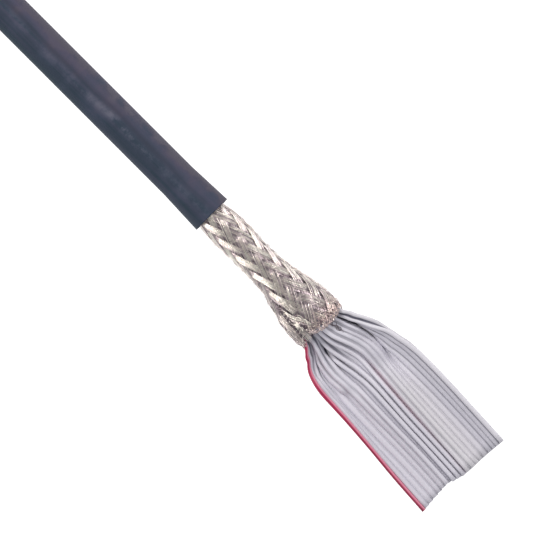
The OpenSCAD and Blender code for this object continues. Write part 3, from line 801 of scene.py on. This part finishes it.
def addWire(bunch, line, tone, bare, radius, sides=4):
    p = np.array(line)
    d = np.gradient(p, axis=0)
    d /= np.linalg.norm(d, axis=1)[:, None]
    up = np.cross(d, np.array([0.13, 0.55, 0.83]))
    up /= np.linalg.norm(up, axis=1)[:, None]
    other = np.cross(d, up)
    first = len(bunch["verts"])
    for k in range(len(p)):
        for j in range(sides):
            a = math.pi / sides + j * 2 * math.pi / sides
            bunch["verts"].append(p[k] + radius * (math.cos(a) * up[k] + math.sin(a) * other[k]))
    # Tone and wear are one value for the whole wire, or one for each point.
    bunch["wire"].extend(np.repeat(np.broadcast_to(tone, len(p)), sides))
    bunch["bare"].extend(np.repeat(np.broadcast_to(bare, len(p)), sides))
    for k in range(len(p) - 1):
        for j in range(sides):
            a, b = first + sides * k + j, first + sides * k + (j + 1) % sides
            bunch["faces"].append((a, b, b + sides, a + sides))
    end = first + sides * (len(p) - 1)
    bunch["faces"].append(tuple(range(first + sides - 1, first - 1, -1)))
    bunch["faces"].append(tuple(range(end, end + sides)))


def addBraid(name, bunch):
    return addPiece(name, toRow(bunch["verts"]), bunch["faces"], tinnedBraid,
                    ["braid_shield"], {"wire": bunch["wire"], "bare": bunch["bare"]})


# A dark sheet under the wires that stands for the shade in their gaps, and the cut wire ends at the far face.
shadeSheetAndEnds = {"under": 0.18, "thick": 0.05, "round": 96, "endRing": 2.77, "endStep": 0.055, "endRadius": 0.048}


def buildShadeSheetAndEnds():
    n = shadeSheetAndEnds["round"]
    xs = [-jacketLength + 0.05] + list(np.linspace(-jacketLength + 0.10, -4, 30))
    xs += list(np.linspace(-3.6, braid["mouth"] - 0.4, 110))
    bunch, rings = newBunch(), []
    for outer in (True, False):
        for x in xs if outer else xs[::-1]:
            half, tall, side, mid = shieldAt(x)
            drop = shadeSheetAndEnds["under"] if outer else shadeSheetAndEnds["under"] + shadeSheetAndEnds["thick"]
            gap = -0.05 if x < -3.2 and outer else drop
            ring = []
            for j in range(n):
                a = 2 * math.pi * j / n
                at = min(x, mouthAt(wrapAngle(a)) - 0.7)
                ring.append(len(bunch["verts"]))
                point = (at, side + (half - gap) * math.sin(a), mid + (tall - gap) * math.cos(a))
                bunch["verts"].append(point)
                # Dark tones for the sheet of painted shade.
                bunch["wire"].append(0.25 if x < -jacketLength + 0.08 else rng.uniform(0.0, 0.22))
            rings.append(ring)
    bunch["faces"] = joinRings(rings, rings[1:] + rings[:1])
    bunch["bare"] = [0.0] * len(bunch["verts"])
    # The wires were cut through with the jacket, and their ends fill the cut face.
    count = 2 * braid["carriers"] * braid["wires"]
    for k in range(count):
        a = 2 * math.pi * k / count + 0.012 * math.sin(5 * k)
        step = shadeSheetAndEnds["endStep"] if k % 2 else -shadeSheetAndEnds["endStep"]
        r = shadeSheetAndEnds["endRing"] + step + 0.012 * math.sin(7 * k + 1)
        line = [(x, r * math.sin(a), bundleHeight(x) + r * math.cos(a))
                for x in (-jacketLength + 0.3, -jacketLength + 0.02)]
        addWire(bunch, line, 0.75 + 0.2 * math.sin(3 * k), 0.5, shadeSheetAndEnds["endRadius"], sides=6)
    return addBraid("braidShadeSheetAndEnds", bunch)


def weaveLift(v):
    c = math.cos(math.pi * (v - 0.5) / 2)
    return math.copysign(abs(c) ** 0.45, c)


def buildBraid(name, way):
    bunch = newBunch()
    crossings = (braid["mouth"] + 0.6 - braid["start"]) / braid["lay"]
    steps = int(crossings * braid["perCrossing"])
    for i in range(braid["carriers"]):
        ragged = rng.uniform(0, 0.7)
        bundle, sweep = rng.uniform(-0.12, 0.12), rng.uniform(0, 6.28)
        for w in range(braid["wires"]):
            tone = clamp(rng.gauss(0.62, 0.17) + bundle - (0.34 if rng.random() < 0.18 else 0))
            phase, sway = rng.uniform(0, 6.28), rng.uniform(0.2, 1.0)
            back = ragged + abs(rng.gauss(0, 0.28))
            stray = 0.07 if rng.random() < 0.12 else 0.022
            line, lineTone = [], []
            for s in range(steps + 1):
                n = crossings * s / steps
                x = braid["start"] + braid["lay"] * n
                half, tall, side, mid = shieldAt(x)
                grow = 1 + 0.75 * (half / 3.1 - 1)
                loose = max(0.0, (x - 18) / 8)
                across = (w - (braid["wires"] - 1) / 2) * braid["pitch"] * grow
                across += 0.026 * sway * math.sin(1.7 * n + phase) * (1 + 2.2 * loose)
                across += 0.11 * loose * math.sin(2.6 * n + sweep)
                place = 2 * i + way * n
                f = math.radians(place * 180 / braid["carriers"] + braid["turn"])
                f += across / braid["sleeve"] / grow * braid["slantCos"]
                weave = way * weaveLift(place % 4)
                out = braid["lift"] * weave + stray * math.sin(2.3 * n + 2 * phase)
                out += 0.035 * loose * math.sin(1.1 * n + phase)
                if x > mouthAt(wrapAngle(f)) - back:
                    break
                y = side + (half + out) * math.sin(f)
                z = max(mid + (tall + out) * math.cos(f), braid["wireRadius"])
                line.append((x - way * across * braid["slantSin"], y, z))
                # Painted light and shade: crossings on top are lighter and those beneath darker.
                over = braid["over"] if weave > 0 else braid["under"]
                shine = tone + over + 0.12 * math.sin(0.9 * n + 3 * phase)
                lineTone.append(clamp(shine - paintedLightAndShadeAt(x, y, loose)))
            addWire(bunch, line, lineTone, [bareAt(p) for p in line], braid["wireRadius"])
    return addBraid(name, bunch)


# Loose wires: short ones at the mouth, strands combed along the left, hairs and curled ends.
looseWires = {"frays": 190, "frayRadius": 0.050, "combedGap": 0.135, "combedRadius": 0.060,
              "hairs": 190, "hairSeed": 190, "hairRadius": 0.034, "curledRadius": 0.050}
# Start, end, wires, tone, and whether the end is tucked in.
combedStrands = [
    (18.6, -3.40, 28.3, -3.98, 4, -0.10, False), (24.4, -2.80, 28.0, -2.48, 4, -0.10, True),
    (22.6, -2.45, 26.0, -0.95, 2, -0.05, True), (24.0, -3.22, 28.5, -3.38, 6, 0.98, False),
    (23.3, -1.98, 26.7, -1.42, 4, 0.98, True), (18.0, -2.45, 22.9, -1.85, 6, 0.92, True),
    (20.0, -4.42, 28.5, -4.80, 6, 0.70, False), (20.5, -4.95, 28.3, -5.42, 3, 0.05, False)]
# Start, how far it goes across and along, and its curl.
curledEnds = [(27.6, 1.0, 0.7, 3.8, 0.24), (27.9, 0.7, 1.2, 2.6, -0.18), (27.7, 2.0, -0.2, 3.1, 0.20),
              (27.6, 1.4, 0.3, 3.3, -0.26)]


def addFrays(bunch):
    for k in range(looseWires["frays"]):
        f = rng.uniform(-0.55, 1.75) if k % 4 else rng.uniform(-2.2, 2.2)
        x = mouthAt(f) - 0.2 - abs(rng.gauss(0, 1.1))
        lean = rng.uniform(-1.25, 1.25)
        curl = rng.uniform(-1.4, 1.4)
        length = rng.uniform(0.9, 2.3)
        lift = rng.uniform(0.06, 0.24)
        tone = clamp(rng.gauss(0.55, 0.28))
        line = []
        for s in range(9):
            t = s / 8
            half = shieldAt(x)[0]
            line.append(onShield(x, f, 0.08 + lift * math.sin(math.pi * t), low=looseWires["frayRadius"]))
            x += length / 8 * math.cos(lean + curl * t)
            f += length / 8 * math.sin(lean + curl * t) / half
            x = min(x, mouthAt(wrapAngle(f)) + 0.25)
        addWire(bunch, line, tone, [bareAt(p) for p in line], looseWires["frayRadius"])


def addCombed(bunch):
    for x0, y0, x1, y1, wires, tone, tucked in combedStrands:
        for w in range(wires):
            aside = (w - (wires - 1) / 2) * looseWires["combedGap"]
            reach = x1 - x0 - (0 if tucked else 0.5 * abs(math.sin(5 * w + 1)))
            line = []
            for s in range(15):
                t = s / 14
                x = x0 + reach * t + 0.12 * math.sin(3 * w)
                out = 0.19 * min(1.0, 5 * t, 5 * (1 - t) if tucked else 1.0) - 0.03
                out += 0.02 * math.sin(2 * w + 9 * t)
                y = y0 + (y1 - y0) * t + aside * (1 + 0.35 * t) + 0.03 * math.sin(7 * t + 2 * w)
                half, tall, side, mid = shieldAt(x)
                f = math.asin(max(-1.0, min(1.0, (y - side) / (half + out))))
                line.append(onShield(x, f, out))
            addWire(bunch, line, tone + 0.12 * math.sin(3 * w + 1), 0.0, looseWires["combedRadius"])


def addHairs(bunch):
    # They stand off along both outlines, more of them on the right and towards the mouth.
    hairs = random.Random(looseWires["hairSeed"])
    for k in range(looseWires["hairs"]):
        x = 26.8 - 25.5 * hairs.random() ** 1.3
        f = (1 if k % 3 else -1) * (1.50 + hairs.uniform(-0.28, 0.12))
        length = hairs.uniform(0.9, 2.4)
        lean = hairs.uniform(-0.5, 0.5)
        lift = 0.10 + 0.40 * hairs.random() ** 2
        tone = hairs.uniform(0.35, 0.95)
        line = []
        for s in range(9):
            t = s / 8
            out = 0.06 + lift * (t * t if k % 2 else math.sin(math.pi * t))
            a = f + lean * length * t / shieldAt(x + length * t)[0]
            line.append(onShield(x + length * t, a, out))
        addWire(bunch, line, tone, 0.0, looseWires["hairRadius"], sides=3)


def ribbonTop(x, y):
    # Height at which a stiff wire lies across the lobes.
    side, turn = planAt(x)
    tops = [0.0]
    for p in coresAt(x):
        aside = abs(side + p[0] * math.cos(turn) - y)
        if aside < 0.8:
            tops.append(p[1] + math.sqrt(max(0.0, ribbon["lobe"] ** 2 - max(0.0, aside - 0.4) ** 2)))
    return max(tops)


def addCurled(bunch):
    # A few dark ones curl over the ribbon.
    for x, y, across, length, curl in curledEnds:
        line = []
        for s in range(25):
            t = s / 24
            wave = curl * math.sin(5 * math.pi * t) * min(1.0, 2 * t)
            at = (x + length * t, y + across * t + wave)
            line.append((*at, ribbonTop(*at) + 0.06))
        addWire(bunch, line, 0.0, 0.0, looseWires["curledRadius"])


def buildFrays():
    bunch = newBunch()
    for addSome in (addFrays, addCombed, addHairs, addCurled):
        addSome(bunch)
    return addBraid("braidFrays", bunch)


tinnedBraid = braidMaterial()
braidShadeSheetAndEnds = buildShadeSheetAndEnds()
braidRight = buildBraid("braidRight", 1)
braidLeft = buildBraid("braidLeft", -1)
braidFrays = buildFrays()
print("braid built")


# Bare copper in every lobe: a plain core, and seven fine strands at each cut face.
conductor = {"count": 24, "radius": 0.19, "strands": 7, "strand": 0.060, "ring": 0.124, "proud": 0.006,
             "strandsFrom": 62.6, "dark": (0.55, 0.27, 0.16), "bright": (0.86, 0.50, 0.34),
             "roughness": (0.22, 0.42)}


def copperMaterial():
    m, body = newMaterial("copperStrand")
    t = m.node_tree
    fleck = noise(t, Scale=2600.0, Detail=3.0)
    shades = ramp(t, fleck, [(0.35, conductor["dark"]), (0.7, conductor["bright"])])
    t.links.new(shades, body.inputs["Base Color"])
    body.inputs["Metallic"].default_value = 1.0
    t.links.new(soften(t, fleck, *conductor["roughness"]), body.inputs["Roughness"])
    return m


def conductorAt(k, x, offset=(0.0, 0.0)):
    at = min(max(x, -jacketLength), ribbon["cut"])
    core = coresAt(at)[k] + offset
    side, turn = planAt(at)
    return (x - core[0] * math.sin(turn) - cutBack(k, x), side + core[0] * math.cos(turn), core[1])


def buildConductors():
    bunch = newBunch()
    xs = [-jacketLength + 0.3] + stationList()[1:-1]
    farEnd = (-jacketLength - conductor["proud"], -jacketLength + 0.35)
    cutEnd = (conductor["strandsFrom"], ribbon["cut"] + conductor["proud"])
    for k in range(conductor["count"]):
        addWire(bunch, [conductorAt(k, x) for x in xs], 0.5, 0.0, conductor["radius"])
        for ends in (farEnd, cutEnd):
            for j in range(conductor["strands"]):
                a = j * math.pi / 3 + 0.3 * k
                ring = conductor["ring"] if j < conductor["strands"] - 1 else 0.0
                offset = np.array([math.cos(a), math.sin(a)]) * ring
                line = [conductorAt(k, x, offset) for x in ends]
                addWire(bunch, line, 0.5, 0.0, conductor["strand"], sides=8)
    nodes = ["conductor_%02d" % (k + 1) for k in range(conductor["count"])]
    return addPiece("copperConductors", toRow(bunch["verts"]), bunch["faces"], copperStrand,
                    nodes)


copperStrand = copperMaterial()
copperConductors = buildConductors()
print("conductors built")
